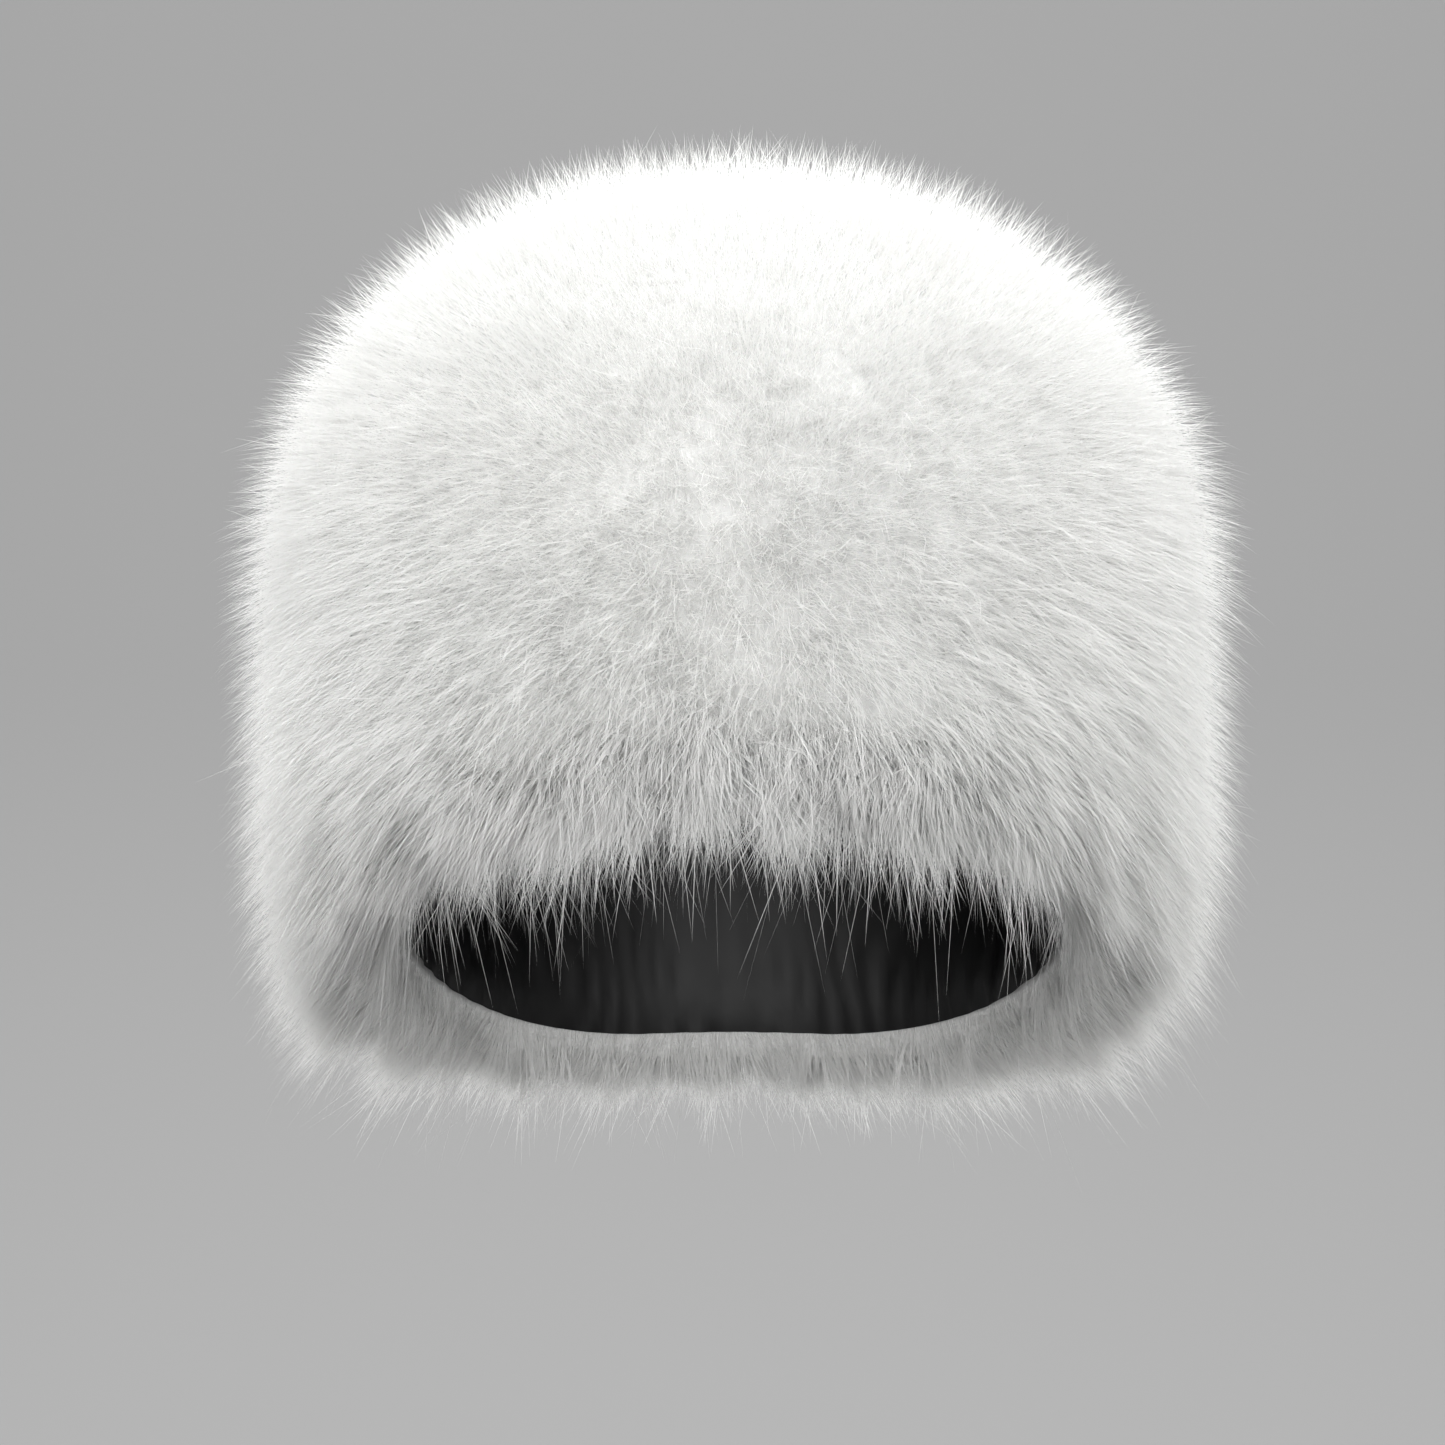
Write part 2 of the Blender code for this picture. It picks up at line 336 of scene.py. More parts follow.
# How the whole pile is combed: every hair follows one field, which wanders over some centimetres,
# and turns a little towards its lock.
pileStyle = {
    "combCurl": 0.35,  # share of the lean that comes only towards the tip
    "squareFrom": 1.4,  # the station from which the comb turns square to the hem
    "lockSpacing": 0.010,
    "lockFrom": 1.5,  # the station from which the locks grow stronger towards the hem
    "lockPull": 0.04,  # how strongly hair turns towards its lock, on the wall and at the hem
    "lockPullHem": 0.20,
    "lockLonger": 0.02,  # how much longer one lock is than the next, on the wall and at the hem
    "lockLongerHem": 0.08,
    "sway": 0.014,  # wander over some centimetres, in depths
    "swaySteep": 0.10,  # more of it sideways, where the hair is combed down steeply
    "swaySpacing": 0.045,
    "swaySteepSpacing": 0.05,
    "hemSway": 0.22,  # the same sideways towards the hem, over a shorter way
    "hemSwaySpacing": 0.022,
    "tipFrom": 1.6,  # the station from which tips end sooner and the fringe gets painted shade
    "farthest": 1.42,  # no hair goes farther, in shares of the depth, on the wall and at the hem
    "farthestHem": 1.28,
    "fringeShade": 0.60,  # how much painted shade darkens the fringe over the forehead, where the fur turns under
    "fringeTurn": 1.6,  # radians from the front where that painted shade ends
    "hemKeep": 0.35,  # how much of its outward reach the hair at the cloth's inner face keeps
    "hemInside": -0.10,  # the same for the innermost hair, which hangs down inside
    "hemLonger": 0.10,  # how much longer hair is at the cloth's inner face
    "hemTurnUp": 0.005,  # how far up inside the cloth's turning reaches
    "softOver": 1.6,  # how ribbons turn from facing outwards to facing inwards and down there
    "softDown": 0.8,
}


# Underwool: the pile's dense lower part, which closes the gaps between the guard hairs
underwool = {
    "share": 0.76,  # of the pile's depth
    "segments": 144,
    "crownRings": 56,
    "sideRings": 72,
    "seamDip": 0.03,  # how much lower it is at the crown's seam, and how near, in stations
    "seamReach": 0.10,
    "seamGap": 0.0005,  # stations left open between crown and sides
    "hemThin": 0.45,  # how much lower it is at the hem, and from which station
    "thinFrom": 1.7,
    "insideThin": 0.5,  # how much lower again at the cloth's inner face
}


def woolShare(station, inward):
    # How far the underwool reaches, as a share of the pile's depth
    offSeam = (np.abs(station - 1) / underwool["seamReach"]).clip(0, 1)
    dip = underwool["seamDip"] * (1 - np.sqrt(1 - (1 - offSeam) ** 2))
    thin = underwool["hemThin"] * towardsHem(station, underwool["thinFrom"]) ** 2
    return underwool["share"] * (1 - dip) * (1 - thin) * (1 - underwool["insideThin"] * inward)


# Small partings and dimples in the pile: the place, how wide, and how far the hair is pushed off
partings = (
    {"azimuth": 23.5, "station": 1.38, "radius": 0.006, "push": 0.0035},
    {"azimuth": -17.0, "station": 1.36, "radius": 0.009, "push": 0.0020},
    {"azimuth": -4.0, "station": 1.28, "radius": 0.010, "push": 0.0015},
    {"azimuth": 27.0, "station": 1.97, "radius": 0.005, "push": 0.0050},
)


def partHair(axes):
    # Pushes the hair away from the middle of each parting
    for parting in partings:
        turn = np.array([math.radians(parting["azimuth"])])
        middle = wallPoint(turn, np.array([parting["station"]]), hatForm["clothOutside"])
        away = axes["root"] - middle
        distance = np.linalg.norm(away, axis=1)
        push = parting["push"] * np.exp(-((distance / parting["radius"]) ** 2))
        axes["comb"] += push[:, None] * away / np.maximum(distance, 0.0005)[:, None]


def pileAxes(table, azimuth, station, inward=0.0):
    # The line of growth at each place: root, full reach outwards and full way combed down.
    # On the hem's edge inward is 0 at the cloth's outer face, 1 at its inner face and more
    # where the cloth turns up inside. The soft way is the one that the hair's ribbons face.
    thick = hatForm["clothOutside"] - hatForm["clothInside"]
    root = wallPoint(azimuth, station, hatForm["clothOutside"] - np.minimum(inward, 1) * thick)
    root[..., 2] += np.maximum(inward - 1, 0) * pileStyle["hemTurnUp"]
    normal, down, side = wallFrame(azimuth, station)
    depth, lean = pileAt(table, azimuth, station)
    keep = np.interp(inward, (0, 1, 2), (1, pileStyle["hemKeep"], pileStyle["hemInside"]))
    inward = np.broadcast_to(np.minimum(inward, 1), depth.shape)
    out = (depth * keep)[:, None] * normal
    longer = depth * np.tan(lean) * (1 + pileStyle["hemLonger"] * inward)
    # Painted shade over the fringe: darker towards the hem, and only round the front
    fringe = towardsHem(station, pileStyle["tipFrom"]) ** 2
    fringe = fringe * (pileStyle["fringeTurn"] - np.abs(azimuth)).clip(0, 1)
    comb = longer[:, None] * combWay(azimuth, station, normal, down)
    soft = normal * (1 - pileStyle["softOver"] * inward)[:, None]
    soft = unit(soft + pileStyle["softDown"] * inward[:, None] * down)
    return {
        "root": root, "station": station, "normal": normal, "down": down, "side": side, "depth": depth,
        "out": out, "comb": comb, "bend": np.zeros_like(out), "longer": np.ones(len(root)),
        "woolShare": woolShare(station, inward), "shade": 1 - pileStyle["fringeShade"] * fringe,
        "soft": soft,
    }


def combed(share):
    # How much of the way down a hair has come this far along it
    return share * (1 - pileStyle["combCurl"]) + pileStyle["combCurl"] * share * share


def along(axes, share):
    # Points this share of the way along each axis
    share = np.broadcast_to(share, axes["depth"].shape)[:, None]
    return axes["root"] + share * axes["out"] + combed(share) * axes["comb"]


def ruffle(axes, sort, locks, random):
    # Sways the axes together, each on its own, and towards the tip of the nearest lock
    root, depth, count = axes["root"], axes["depth"][:, None], len(axes["root"])
    steep = np.linalg.norm(axes["comb"], axis=1) / axes["depth"]
    low = towardsHem(axes["station"], pileStyle["lockFrom"])
    downward = pileStyle["sway"] * waves(root, pileStyle["swaySpacing"], 101)
    sideways = pileStyle["sway"] + pileStyle["swaySteep"] * steep
    sideways = sideways * waves(root, pileStyle["swaySteepSpacing"], 102)
    downward += sort["sway"] * random.normal(size=count)
    sideways += sort["sway"] * random.normal(size=count)
    sideways += pileStyle["hemSway"] * low * waves(root, pileStyle["hemSwaySpacing"], 103)
    axes["comb"] += depth * (downward[:, None] * axes["down"] + sideways[:, None] * axes["side"])
    turn = random.uniform(0, math.tau, count)
    size = sort["bend"] * np.abs(random.normal(size=count))
    axes["bend"] += (size * np.cos(turn))[:, None] * axes["down"]
    axes["bend"] += (size * np.sin(turn))[:, None] * axes["side"]
    batch = 4000
    nearest = np.concatenate([
        ((root[k : k + batch, None] - locks["root"]) ** 2).sum(2).argmin(1) for k in range(0, count, batch)
    ])
    towards = locks["root"][nearest] - root
    towards -= (towards * axes["normal"]).sum(1, keepdims=True) * axes["normal"]
    away = np.linalg.norm(towards, axis=1) / pileStyle["lockSpacing"]
    partHair(axes)
    pull = pileStyle["lockPull"] + (pileStyle["lockPullHem"] - pileStyle["lockPull"]) * low
    axes["comb"] += towards * pull[:, None] * 2
    longer = pileStyle["lockLonger"] + (pileStyle["lockLongerHem"] - pileStyle["lockLonger"]) * low
    axes["longer"] *= 1 + longer * ((1 - 3 * away) * (1 - low) + locks["longer"][nearest])


# Sorts of hair: distance between wisps, hairs in each, where the drawn part starts and ends as
# shares of the pile's depth, how far roots and tips stray from the wisp's axis, the wisp's own
# sway and bend, each hair's curl, its width (a real one is 0.05 mm wide, too fine to show) and
# its points from end to end.
hairSorts = {
    "fill": {
        "spacing": 0.00048, "perWisp": 1, "start": 0.60, "ends": (0.78, 0.94), "longest": 0.0,
        "rootSpread": 0, "tipSpread": 0, "sway": 0.11, "bend": 0.008, "curl": 0,
        "width": 0.00052, "points": 2,
    },
    "guard": {
        "spacing": 0.0019, "perWisp": 7, "start": 0.58, "ends": (0.82, 1.08), "longest": 0.26,
        "rootSpread": 0.0012, "tipSpread": 0.0012, "sway": 0.06, "bend": 0.005, "curl": 0.003,
        "width": 0.00024, "points": 3,
    },
    "stray": {
        "spacing": 0.00125, "perWisp": 1, "start": 0.70, "ends": (1.00, 1.40), "longest": 0.10,
        "rootSpread": 0, "tipSpread": 0, "sway": 0.08, "bend": 0.006, "curl": 0,
        "width": 0.00017, "points": 3,
    },
}
hemSorts = {
    "fill": {
        "spacing": 0.00050, "perWisp": 1, "start": 0.0, "ends": (0.45, 0.85), "longest": 0.0,
        "rootSpread": 0.0008, "tipSpread": 0, "sway": 0.08, "bend": 0.003, "curl": 0,
        "width": 0.00040, "points": 2,
    },
    "guard": {
        "spacing": 0.0020, "perWisp": 7, "start": 0.05, "ends": (0.70, 1.00), "longest": 0.30,
        "rootSpread": 0.0012, "tipSpread": 0.0012, "sway": 0.09, "bend": 0.007, "curl": 0.005,
        "width": 0.00024, "points": 4,
    },
    "stray": {
        "spacing": 0.0020, "perWisp": 1, "start": 0.3, "ends": (0.9, 1.3), "longest": 0.20,
        "rootSpread": 0, "tipSpread": 0, "sway": 0.16, "bend": 0.009, "curl": 0,
        "width": 0.00018, "points": 4,
    },
}
hairGrowth = {
    "boxSpare": (0.0160, 0.0165, 0.0165),  # how far past the solids' box a tip may reach
    "longestPower": 5,  # how rare the longest hairs are
    "farthestVaries": (0.9, 1.0),
    "inWool": 0.04,  # how far inside the wool a hair starts, at the least, and how that varies
    "startVaries": (-0.04, 0.02),
}


def growHairs(axes, sort, random):
    # Points along each hair of this sort
    wisp = np.repeat(np.arange(len(axes["root"])), sort["perWisp"])
    count = len(wisp)
    side, down = axes["side"][wisp], axes["down"][wisp]

    def strayed(sizes):
        turn = random.uniform(0, math.tau, count)
        return (sizes * np.cos(turn))[:, None] * side + (sizes * np.sin(turn))[:, None] * down

    atRoot = strayed(sort["rootSpread"] * np.sqrt(random.uniform(size=count)))
    atTip = strayed(sort["tipSpread"] * np.sqrt(random.uniform(size=count)))
    curl = strayed(sort["curl"] * np.abs(random.normal(size=count)))
    ends = random.uniform(*sort["ends"], count)
    ends = ends + sort["longest"] * random.uniform(size=count) ** hairGrowth["longestPower"]
    low = towardsHem(axes["station"][wisp], pileStyle["tipFrom"])
    farthest = pileStyle["farthest"] + (pileStyle["farthestHem"] - pileStyle["farthest"]) * low
    farthest = farthest * random.uniform(*hairGrowth["farthestVaries"], count)
    ends = np.minimum(ends * axes["longer"][wisp], farthest)
    inWool = axes["woolShare"][wisp] - hairGrowth["inWool"]
    starts = np.minimum(sort["start"], inWool) + random.uniform(*hairGrowth["startVaries"], count)
    shares = starts[:, None] + (ends - starts)[:, None] * np.linspace(0, 1, sort["points"])
    u = shares[:, :, None]
    points = axes["root"][wisp][:, None] + u * axes["out"][wisp][:, None]
    points = points + combed(u) * axes["comb"][wisp][:, None]
    points = points + u * u * (axes["bend"][wisp] + curl)[:, None]
    points = points + (1 - u) * atRoot[:, None] + u * atTip[:, None]
    least = np.array(cadBounds[0]) - hairGrowth["boxSpare"]
    most = np.array(cadBounds[1]) + hairGrowth["boxSpare"]
    inside = ((points[:, -1] > least) & (points[:, -1] < most)).all(1)
    return points[inside], shares[inside], axes["soft"][wisp][inside], axes["shade"][wisp][inside]


# Each hair's ribbon: how unevenly it is turned, how its width varies and narrows from point to
# point, how white it is where it leaves the wool, which is painted shade for the pile's depth,
# where that painted shade starts to fade and over how much, and by how much one hair differs from the next
ribbonStyle = {
    "turned": 0.35,
    "widths": (0.7, 1.2),
    "narrows": 0.35,
    "whiteUnderPaintedShade": 0.72,
    "whiteFrom": 0.5,
    "whiteRise": 0.4,
    "whiteSpread": 0.02,
}


def hairRibbons(points, shares, soft, shade, width, random):
    # A flat ribbon on each line of points, broadest in its middle and facing outwards. One of
    # two points is a long triangle.
    style = ribbonStyle
    count, stops = points.shape[:2]
    way = unit(points[:, -1] - points[:, 0])
    across = unit(np.cross(way, soft + style["turned"] * random.normal(size=(count, 3))))
    across[(np.cross(across, way) * soft).sum(1) < 0] *= -1
    half = across * (width * random.uniform(*style["widths"], count) / 2)[:, None]
    if stops == 2:
        corners = np.stack([points[:, 0] - half, points[:, 0] + half, points[:, 1]], axis=1)
        pattern = [(0, 1, 2)]
        cornerShares = shares[:, [0, 0, 1]]
    else:
        rows, rowShares = [points[:, 0]], [shares[:, 0]]
        for k in range(1, stops - 1):
            narrowed = half * (1.0 - style["narrows"] * (k - 1))
            rows += [points[:, k] - narrowed, points[:, k] + narrowed]
            rowShares += [shares[:, k], shares[:, k]]
        corners = np.stack([*rows, points[:, -1]], axis=1)
        cornerShares = np.stack([*rowShares, shares[:, -1]], axis=1)
        last = corners.shape[1] - 1
        pattern = [(0, 2, 1), (last - 2, last - 1, last)]
        for k in range(1, last - 2, 2):
            pattern += [(k, k + 1, k + 3), (k, k + 3, k + 2)]
    perHair = corners.shape[1]
    triangles = (np.arange(count) * perHair)[:, None, None] + np.array(pattern)
    # Painted shade: each hair darker near its root, where the pile is deep, and over the fringe; the spread
    # is each hair's own random tone
    rise = ((cornerShares - style["whiteFrom"]) / style["whiteRise"]).clip(0, 1)
    white = (style["whiteUnderPaintedShade"] + (1 - style["whiteUnderPaintedShade"]) * rise) * shade[:, None]
    white = (white + style["whiteSpread"] * random.normal(size=(count, 1))).clip(0, 1)
    return corners.reshape(-1, 3), triangles.reshape(-1, 3), white.ravel()


def pieceOfHair(name, parts):
    before = np.cumsum([0] + [len(part[0]) for part in parts])
    triangles = np.concatenate([part[1] + first for part, first in zip(parts, before)])
    points, white = (np.concatenate([part[k] for part in parts]) for k in (0, 2))
    mesh = bpy.data.meshes.new(name)
    mesh.vertices.add(len(points))
    mesh.vertices.foreach_set("co", points.astype(np.float32).ravel())
    mesh.loops.add(triangles.size)
    mesh.loops.foreach_set("vertex_index", triangles.astype(np.int32).ravel())
    mesh.polygons.add(len(triangles))
    mesh.polygons.foreach_set("loop_start", np.arange(0, triangles.size, 3, dtype=np.int32))
    mesh.polygons.foreach_set("use_smooth", np.ones(len(triangles), dtype=bool))
    mesh.update(calc_edges=True)
    toneAndPaintedShade = mesh.attributes.new("toneAndPaintedShade", "FLOAT", "POINT")
    toneAndPaintedShade.data.foreach_set("value", white.astype(np.float32))
    piece = bpy.data.objects.new(name, mesh)
    bpy.context.scene.collection.objects.link(piece)
    mesh.materials.append(hairMaterial)
    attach(piece, "root")
    print(name, len(triangles), "triangles")
    return len(triangles)


def hemPlaces(azimuths, spacing, random):
    # Places about this far apart on the cloth's lower edge, and how far inward each is, from 0
    # at the outer face over 1 at the inner face to 2 on the turning inside
    turns = np.linspace(*azimuths, evenly["turns"])
    edge = wallPoint(turns, np.full(len(turns), 2.0), hatForm["clothOutside"])
    run = np.append(0, np.cumsum(np.linalg.norm(np.diff(edge, axis=0), axis=1)))
    thick = hatForm["clothOutside"] - hatForm["clothInside"]
    count = int(run[-1] * thick * 2 / spacing**2 / evenly["honeycomb"])
    steps = np.arange(count) + 0.5
    azimuth = np.interp((steps * evenly["steps"][0] % 1) * run[-1], run, turns)
    strayed = evenly["hemStray"] * random.uniform(size=count)
    inward = 2 * ((steps * evenly["steps"][1] + strayed) % 1)
    return azimuth, np.full(count, 2.0), inward


def growPile(name, table, azimuths, stations, seed, density):
    # All the hair on one part of the wall, and on the hem where that part reaches it. Where
    # there is less of it, each hair is drawn wider.
    random = np.random.default_rng(seed)
    place = evenPlaces(azimuths, stations, pileStyle["lockSpacing"], random)
    longer = random.normal(size=len(place[0])).clip(-2, 2)
    locks = {"root": wallPoint(*place, hatForm["clothOutside"]), "longer": longer}
    apart = density**-0.5 * 1
    wider = density**-0.4
    parts = []
    for sorts, onHem in ((hairSorts, False), (hemSorts, True)):
        if onHem and stations[1] < 2:
            continue
        for sort in sorts.values():
            if onHem:
                place = hemPlaces(azimuths, sort["spacing"] * apart, random)
            else:
                place = evenPlaces(azimuths, stations, sort["spacing"] * apart, random)
            axes = pileAxes(table, *place)
            ruffle(axes, sort, locks, random)
            parts.append(hairRibbons(*growHairs(axes, sort, random), sort["width"] * wider, random))
    return pieceOfHair(name, parts)


# The pile's pieces: the turns between which each one stands, the seed of its random draws and
# how dense its hair is. It is densest over the forehead, which the photograph shows.
front = hatForm["foreheadTurn"]
temple = math.radians(115)
piles = {
    "crownPile": {"turns": (-math.pi, math.pi), "seed": 21, "density": 0.47},
    "foreheadPileRight": {"turns": (-front, 0), "seed": 22, "density": 0.92},
    "foreheadPileLeft": {"turns": (0, front), "seed": 23, "density": 0.92},
    "flapPileRight": {"turns": (-temple, -front), "seed": 24, "density": 0.71},
    "flapPileLeft": {"turns": (front, temple), "seed": 25, "density": 0.71},
    "neckPileRight": {"turns": (-math.pi, -temple), "seed": 26, "density": 0.48},
    "neckPileLeft": {"turns": (temple, math.pi), "seed": 27, "density": 0.48},
}
hairTotal = 0
for name, pile in piles.items():
    table, stations = (crownPile, (0, 1)) if name == "crownPile" else (sidePile, (1, 2))
    hairTotal += growPile(name, table, pile["turns"], stations, pile["seed"], pile["density"])
print("hair", hairTotal, "triangles")


def setPoints(piece, points):
    piece.data.vertices.foreach_set("co", points.astype(np.float32).ravel())
    piece.data.update()
    bpy.ops.object.shade_smooth_by_angle(angle=math.radians(50))


def pointsOf(piece):
    points = np.empty(len(piece.data.vertices) * 3)
    piece.data.vertices.foreach_get("co", points)
    return points.reshape(-1, 3)


def dress(piece, material, slot, *nodes):
    piece.data.materials.append(material)
    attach(piece, "root")
    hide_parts(*nodes)
    print(piece.name, sum(len(p.vertices) - 2 for p in piece.data.polygons), "triangles")


def startSphere(name, segments, rings):
    # A primitive sphere and the azimuth and latitude of its points
    bpy.ops.object.select_all(action="DESELECT")
    bpy.ops.mesh.primitive_uv_sphere_add(segments=segments, ring_count=rings, radius=1)
    piece = bpy.context.active_object
    piece.name = piece.data.name = name
    points = unit(pointsOf(piece))
    return piece, np.arctan2(points[:, 0], -points[:, 1]), np.arcsin(points[:, 2].clip(-1, 1))


def crownUnderwool():
    # The sphere's upper half becomes the outer face, and its lower half the inner one
    piece, azimuth, latitude = startSphere("crownUnderwool", underwool["segments"], underwool["crownRings"])
    station = (1 - underwool["seamGap"]) * (1 - np.abs(latitude) / (math.pi / 2))
    axes = pileAxes(crownPile, azimuth, station)
    outer = along(axes, axes["woolShare"])
    inner = wallPoint(azimuth, station, hatForm["clothInside"])
    setPoints(piece, np.where((latitude > -0.001)[:, None], outer, inner))
    dress(piece, woolMaterial, "fur", "crown_fur")


def sideUnderwool():
    # The torus' cross-section becomes the wall's: down the outer face, under the hem and up
    bpy.ops.object.select_all(action="DESELECT")
    bpy.ops.mesh.primitive_torus_add(
        major_segments=underwool["segments"],
        minor_segments=underwool["sideRings"],
        major_radius=1,
        minor_radius=0.3,
    )
    piece = bpy.context.active_object
    piece.name = piece.data.name = "sideUnderwool"
    points = pointsOf(piece)
    azimuth = np.arctan2(points[:, 0], -points[:, 1])
    turn = np.arctan2(points[:, 2], np.hypot(points[:, 0], points[:, 1]) - 1)
    place = ((math.pi / 2 - turn) / math.tau).round(6) % 1  # 0 at the top, and down the outer side
    outerEnd, hemEnd, hangEnd = 0.50, 0.60, 0.66
    seamGap = underwool["seamGap"]
    station = 1 + seamGap + (1 - seamGap) * (place / outerEnd).clip(0, 1)
    inward = ((place - outerEnd) / (hemEnd - outerEnd)).clip(0, 1)
    axes = pileAxes(sidePile, azimuth, station, inward)
    result = along(axes, axes["woolShare"])
    hang = ((place - hemEnd) / (hangEnd - hemEnd)).clip(0, 1)[:, None]
    hemInside = wallPoint(azimuth, np.full(len(azimuth), 2.0), hatForm["clothInside"])
    result = result + (hemInside - result) * hang
    up = ((place - hangEnd) / (1 - hangEnd)).clip(0, 1)
    inner = wallPoint(azimuth, 2 - (1 - seamGap) * up, hatForm["clothInside"])
    result = np.where((place > hangEnd)[:, None], inner, result)
    setPoints(piece, result)
    dress(piece, woolMaterial, "fur", "forehead_fur", "ear_neck_flap_fur")


crownUnderwool()
sideUnderwool()

# Lining: four gores over a band, each sewn to the next, and gathered where it meets the hem
liningStyle = {
    "wall": 0.0017,
    "short": 0.0045,  # how far above the hem it ends
    "segments": 288,
    "rings": 80,
    "innerShare": 0.75,  # of the rings, because only the inner face shows
    "gores": 4,
    "puff": 0.0011,  # how far the cloth stands off its seams, and over what distance
    "puffReach": 0.007,
    "pucker": 0.0005,
    "puckerSpacing": 0.009,
    "puckerReach": 0.012,
    "gather": 0.0009,
    "gatherSpacing": 0.011,
    "gatherReach": 0.022,
    "slack": 0.0007,
    "slackSpacing": 0.04,
    "wander": 1.5,  # how far the puckers wander off even spacing, in radians, and over what
    "wanderSpacing": 0.05,
    "stationLength": 0.12,  # metres of wall that one station stands for, roughly
    "hemRound": 0.012,  # share of the rings that rounds the lower edge
    "topFlat": 0.1,  # the station below which the top lies flat
}
liningFinish = {
    "colour": "#070708",
    "roughness": 0.36,
    "gloss": 0.3,
    "wrinkle": 0.004,
    "relief": 0.00010,
}


def polyesterSatin():
    # Woven polyester satin: black, with a soft broad gloss that shows each pucker
    material = newMaterial("wovenPolyesterSatin")
    tree = material.node_tree
    place = addNode(tree, "ShaderNodeTexCoord")
    wrinkles = addNode(
        tree,
        "ShaderNodeTexNoise",
        {"Scale": 1 / liningFinish["wrinkle"] / 2, "Detail": 2, "Distortion": 0.8},
        {"Vector": place.outputs["Object"]},
    )
    bump = addNode(
        tree,
        "ShaderNodeBump",
        {"Distance": liningFinish["relief"], "Strength": 0.8},
        {"Height": wrinkles.outputs["Fac"]},
    )
    satin = addNode(
        tree,
        "ShaderNodeBsdfPrincipled",
        {
            "Base Color": srgb(liningFinish["colour"]),
            "Roughness": liningFinish["roughness"],
            "Specular IOR Level": liningFinish["gloss"],
        },
        {"Normal": bump.outputs["Normal"]},
    )
    addNode(tree, "ShaderNodeOutputMaterial", {}, {"Surface": satin.outputs[0]})
    return material


def liningRelief(azimuth, station):
    # How far the cloth stands inwards of its plain form: puffed between the seams, puckered
    # along them and gathered at the hem
    style = liningStyle
    place = wallPoint(azimuth, station, 0.0, style["short"])
    radius = np.hypot(place[:, 0], place[:, 1])
    goreTurn = math.tau / style["gores"]
    toGore = np.abs((azimuth + goreTurn) % goreTurn - goreTurn / 2) * radius
    length = style["stationLength"]
    toBand = np.abs(station - 1) * length
    toBack = (math.pi - np.abs(azimuth)) * radius
    crown = station < 1
    seam = np.where(crown, np.minimum(toGore, toBand), np.minimum(toBand, toBack))
    across = np.where(toBand < np.where(crown, toGore, toBack), azimuth * radius, station * length)
    relief = style["puff"] * (1 - np.exp(-((seam / style["puffReach"]) ** 2)))
    wander = style["wander"] * waves(place, style["wanderSpacing"], 302)
    pucker = 0.5 + 0.5 * np.sin(across * math.tau / style["puckerSpacing"] + wander)
    relief += style["pucker"] * pucker * np.exp(-((seam / style["puckerReach"]) ** 2))
    aboveHem = (2 - station) * length
    gather = 0.5 + 0.5 * np.sin(azimuth * radius * math.tau / style["gatherSpacing"] + 2 * wander)
    relief += style["gather"] * gather * np.exp(-((aboveHem / style["gatherReach"]) ** 2))
    relief += style["slack"] * (0.5 + 0.3 * waves(place, style["slackSpacing"], 301)).clip(0, 1)
    return relief * (station / style["topFlat"]).clip(0, 1)


def liningCloth():
    # The sphere's top quarter becomes the outer face, and the rest the inner one
    style = liningStyle
    piece, azimuth, latitude = startSphere("liningCloth", style["segments"], style["rings"])
    height = (latitude / math.pi + 0.5 - style["innerShare"]).round(6)
    innerStation = 2 + 2 * height / style["innerShare"]
    outerStation = 2 - 2 * height / (1 - style["innerShare"])
    station = np.where(height <= 0, innerStation, outerStation)
    outerShare = (1 + np.sin((height / style["hemRound"]).clip(-1, 1) * math.pi / 2)) / 2
    offset = style["wall"] * outerShare - liningRelief(azimuth, station)
    setPoints(piece, wallPoint(azimuth, station, offset, style["short"]))
    dress(piece, polyesterSatin(), "lining", "lining")


liningCloth()


# Studio: a plain pale grey sweep round the hat, whose floor runs up into its wall in one curve
studio = {"floor": -1.5, "radius": 2.1, "height": 6.5, "curve": 1.4, "colour": "#8e8e8e"}


def studioSweep():
    bpy.ops.object.select_all(action="DESELECT")
    bpy.ops.mesh.primitive_cylinder_add(
        vertices=128,
        radius=studio["radius"],
        depth=studio["height"],
        location=(0, 0, studio["floor"] + studio["height"] / 2),
    )
    sweep = bpy.context.active_object
    sweep.name = sweep.data.name = "studioSweep"
    bpy.ops.object.transform_apply()
    bpy.ops.object.mode_set(mode="EDIT")
    bpy.ops.mesh.select_mode(type="FACE")
    bpy.ops.mesh.select_all(action="DESELECT")
    bpy.ops.object.mode_set(mode="OBJECT")
    for face in sweep.data.polygons:
        face.select = face.normal.z > 0.9
    bpy.ops.object.mode_set(mode="EDIT")
    bpy.ops.mesh.delete(type="FACE")
    bpy.ops.mesh.select_all(action="SELECT")
    bpy.ops.mesh.flip_normals()
    bpy.ops.object.mode_set(mode="OBJECT")
    bevel = sweep.modifiers.new("curve", "BEVEL")
    bevel.width, bevel.segments, bevel.limit_method = studio["curve"], 32, "ANGLE"
    bpy.ops.object.modifier_apply(modifier=bevel.name)
    bpy.ops.object.shade_smooth()
    paper = newMaterial("mattePaper")
    sheet = addNode(
        paper.node_tree,
        "ShaderNodeBsdfPrincipled",
        {"Base Color": srgb(studio["colour"]), "Roughness": 0.9, "Specular IOR Level": 0.1},
    )
    addNode(paper.node_tree, "ShaderNodeOutputMaterial", {}, {"Surface": sheet.outputs[0]})
    sweep.data.materials.append(paper)
    # Light passes the sweep, so that the world reaches the hat from every side
    sweep.visible_diffuse = sweep.visible_glossy = sweep.visible_transmission = False
    sweep.visible_shadow = False


studioSweep()

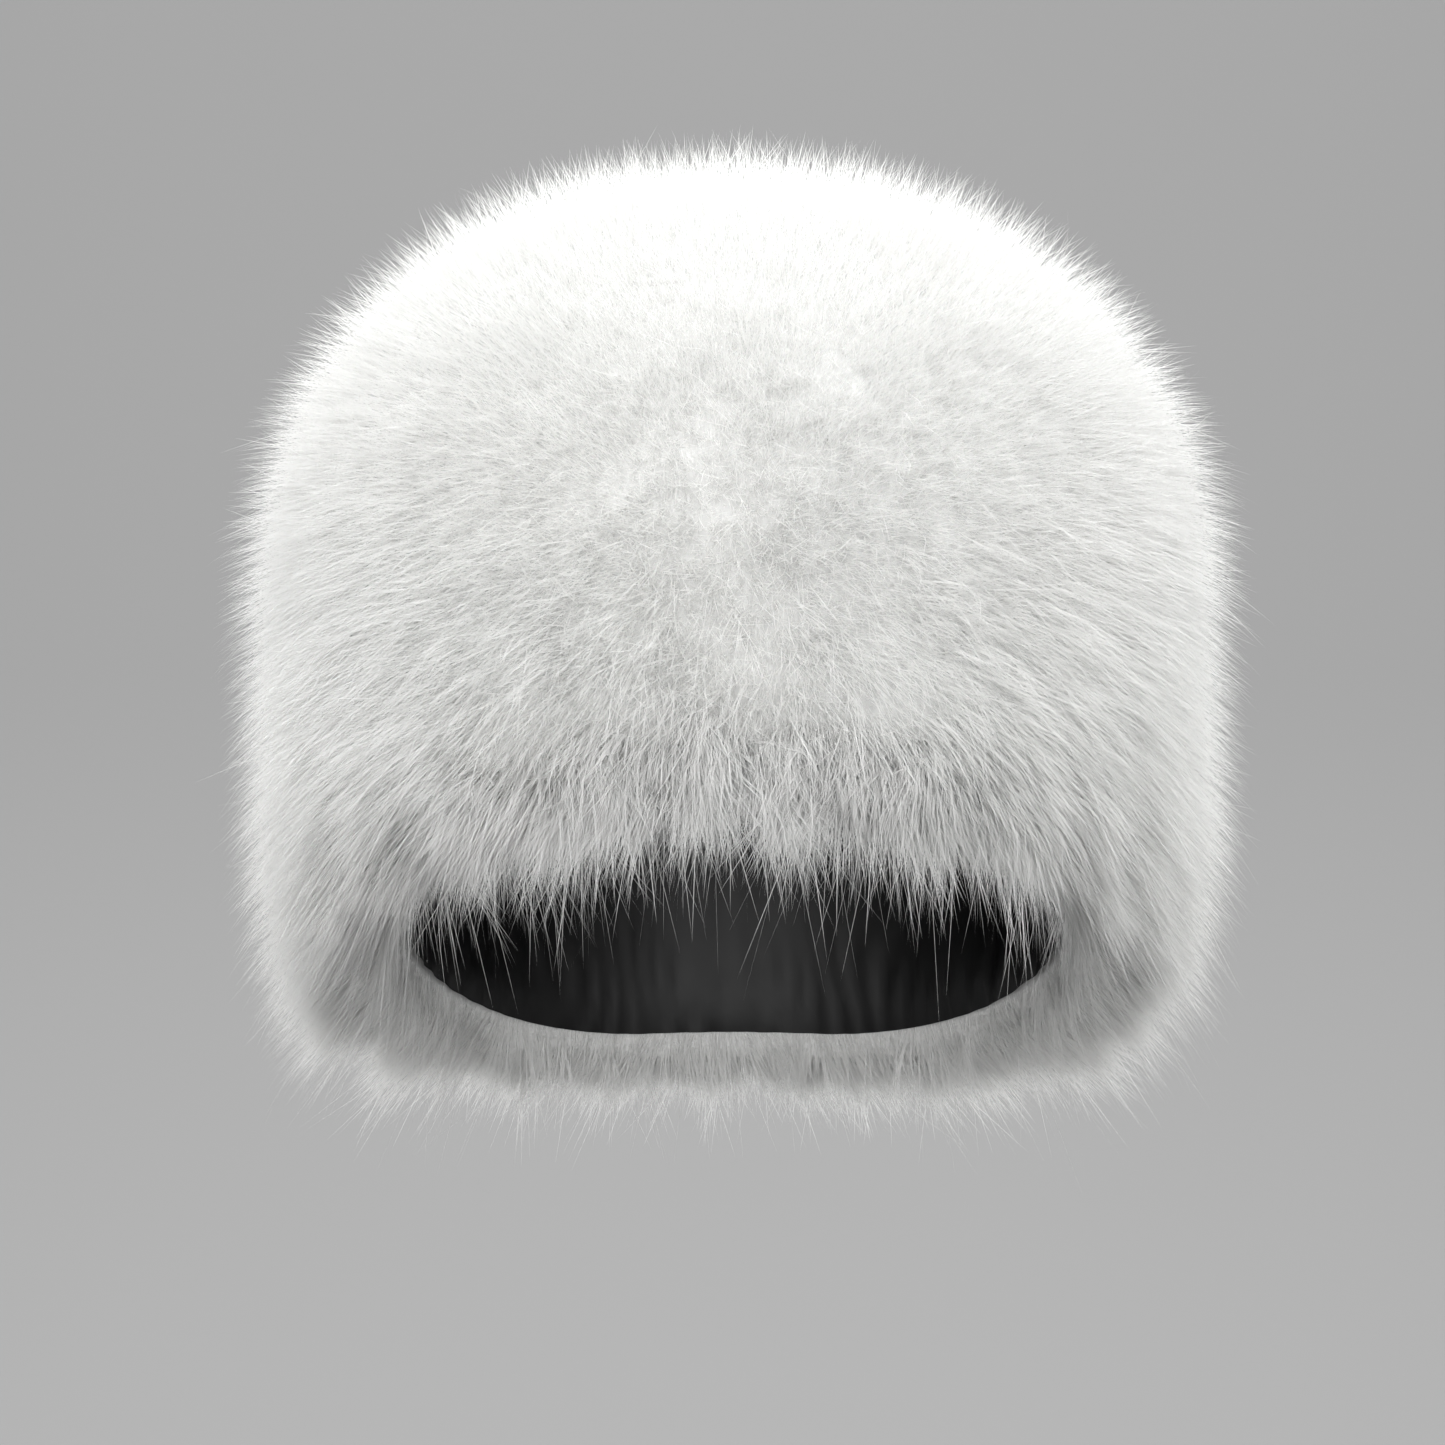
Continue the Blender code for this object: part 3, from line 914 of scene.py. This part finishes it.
# Plain soft light from a white tent all round, without lamps: brightest over the camera, less
# bright over the back, and dim below, where the floor is
tent = {
    "above": 0.86,
    "below": 0.17,
    "fadeFrom": 0.15,  # the height in a direction where the light starts to fade, and ends
    "fadeTo": -0.60,
}
# Each bright part's direction, how narrow it is and its strength
tentPanels = (
    {"way": (0, -0.87, 0.49), "power": 3, "strength": 3.50},
    {"way": (0, 0.87, 0.49), "power": 3, "strength": 1.30},
)


def studioTent():
    world = bpy.data.worlds.new("studioTent")
    world.use_nodes = True
    tree = world.node_tree
    tree.nodes.clear()
    way = addNode(tree, "ShaderNodeTexCoord").outputs["Generated"]
    parts = addNode(tree, "ShaderNodeSeparateXYZ", {}, {"Vector": way})
    dome = addNode(
        tree,
        "ShaderNodeMapRange",
        {
            "interpolation_type": "SMOOTHSTEP",
            "From Min": tent["fadeTo"],
            "From Max": tent["fadeFrom"],
            "To Min": tent["below"],
            "To Max": tent["above"],
        },
        {"Value": parts.outputs["Z"]},
    )
    light = dome.outputs[0]
    for panel in tentPanels:
        facing = addNode(
            tree, "ShaderNodeVectorMath", {"operation": "DOT_PRODUCT", 1: panel["way"]}, {0: way}
        )
        share = facing.outputs["Value"]
        for operation, value in (("MAXIMUM", 0), ("POWER", panel["power"])):
            share = addNode(tree, "ShaderNodeMath", {"operation": operation, 1: value}, {0: share}).outputs[0]
        added = {"operation": "MULTIPLY_ADD", 1: panel["strength"]}
        light = addNode(tree, "ShaderNodeMath", added, {0: share, 2: light}).outputs[0]
    background = addNode(tree, "ShaderNodeBackground", {}, {"Strength": light})
    addNode(tree, "ShaderNodeOutputWorld", {}, {"Surface": background.outputs[0]})
    bpy.context.scene.world = world
    # A tent this soft needs no light rays of its own: the hair's bounces all end in it
    world.cycles.sampling_method = "NONE"


studioTent()

print("studio set")

# Camera, level with the middle of the hat as in the photograph. Its focal length is in pixels of
# the photograph, which is 1445 wide.
cameraPlace = {"focal": 2800, "frame": 1445, "sensor": 36, "at": (-0.0036, -0.80, -0.106), "down": 0.87}
camera = bpy.data.cameras.new("studioCamera")
camera.sensor_width = cameraPlace["sensor"]
camera.lens = cameraPlace["focal"] / cameraPlace["frame"] * cameraPlace["sensor"]
view = bpy.data.objects.new("studioCamera", camera)
bpy.context.scene.collection.objects.link(view)
view.location = cameraPlace["at"]
view.rotation_euler = (math.radians(90 - cameraPlace["down"]), 0, 0)

scene = bpy.context.scene
scene.camera = view
scene.view_settings.view_transform = "Standard"
scene.cycles.diffuse_bounces = 6
scene.cycles.transmission_bounces = 6
scene.cycles.max_bounces = 6
